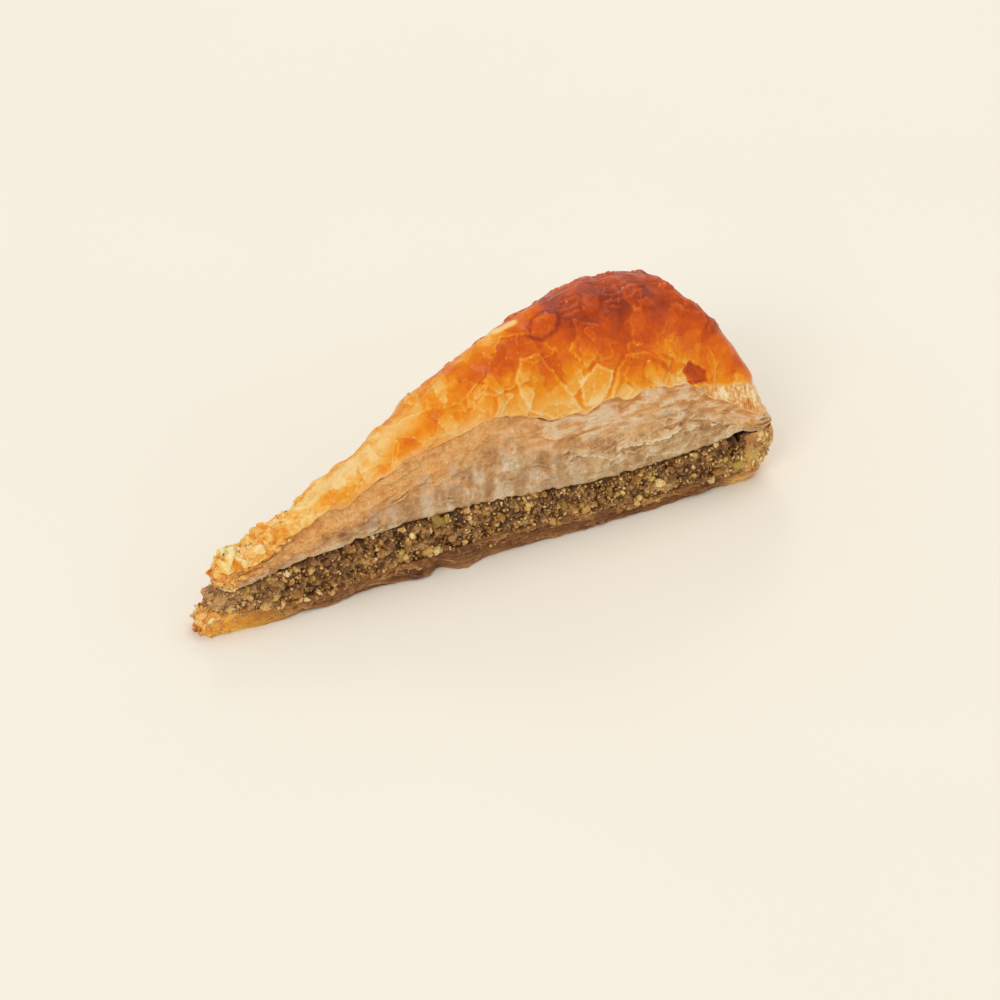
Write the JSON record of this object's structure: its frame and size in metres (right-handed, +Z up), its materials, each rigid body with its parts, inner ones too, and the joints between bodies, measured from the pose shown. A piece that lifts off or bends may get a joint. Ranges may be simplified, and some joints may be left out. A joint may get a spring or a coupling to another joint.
{
  "type": "baklava slice",
  "caption": "Long pointed slice of baklava: glazed, domed crust over pale flaky leaves, a slab of ground nuts and a thin soaked base, lying flat as served",
  "frame": {"origin": "centre of the bounding box's bottom face, on the surface the slice rests on", "axes": "+X from the pointed tip to the wide tray rim, +Y across the slice to its left cut face, +Z up"},
  "size_m": [0.1571, 0.0565, 0.0555],
  "materials": {
    "soaked_base": "syrup-soaked thin pastry leaves, amber brown, slightly translucent",
    "ground_nuts": "coarse ground nuts, brown with cream, tan and yellow-green specks",
    "glazed_pastry": "baked golden to red-brown crust under a syrup glaze, over pale cream leaves"
  },
  "bodies": {
    "root": {"bottom_pastry": "soaked_base", "nut_filling": "ground_nuts", "top_pastry": "glazed_pastry"}
  },
  "joints": []
}
